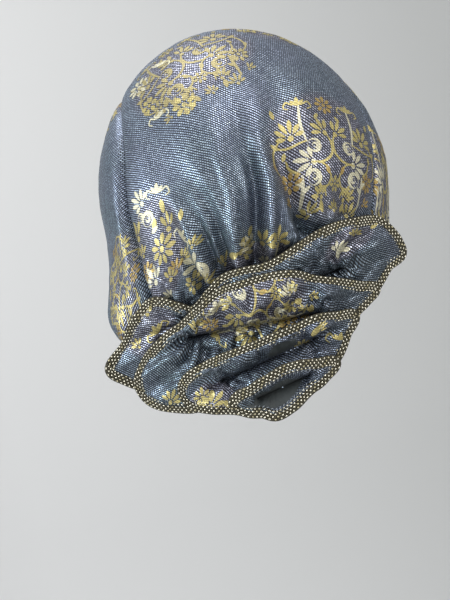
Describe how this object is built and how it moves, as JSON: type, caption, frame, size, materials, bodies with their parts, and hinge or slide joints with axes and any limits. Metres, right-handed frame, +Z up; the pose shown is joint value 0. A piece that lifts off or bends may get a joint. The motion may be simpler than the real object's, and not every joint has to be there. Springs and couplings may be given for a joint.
{
  "type": "turban",
  "caption": "Pull-on turban of shiny printed cloth: a puffed crown gathered at the nape, a face band, and leaf-shaped ruffles with beaded edges hanging below the gathers.",
  "frame": {"origin": "middle of the head opening, where the turban sits on the head", "axes": "+Z up towards the top of the crown, +Y the way the wearer faces, +X the wearer's right as the turban is stored, which is the image's right in the picture from behind"},
  "size_m": [0.2526, 0.2366, 0.3011],
  "materials": {
    "lurex_blue": "blue-black knit with rows of silver-blue metallic yarn and a gold foil print",
    "bead_trim": "dark braid with rows of small champagne and black beads"
  },
  "bodies": {
    "root": {"crown_panel": "lurex_blue", "front_band": "lurex_blue", "nape_band": "lurex_blue", "ruffle_1": "lurex_blue", "ruffle_2": "lurex_blue", "ruffle_3": "lurex_blue", "ruffle_4": "lurex_blue", "trim_1": "bead_trim", "trim_2": "bead_trim", "trim_3": "bead_trim", "trim_4": "bead_trim"}
  },
  "joints": []
}
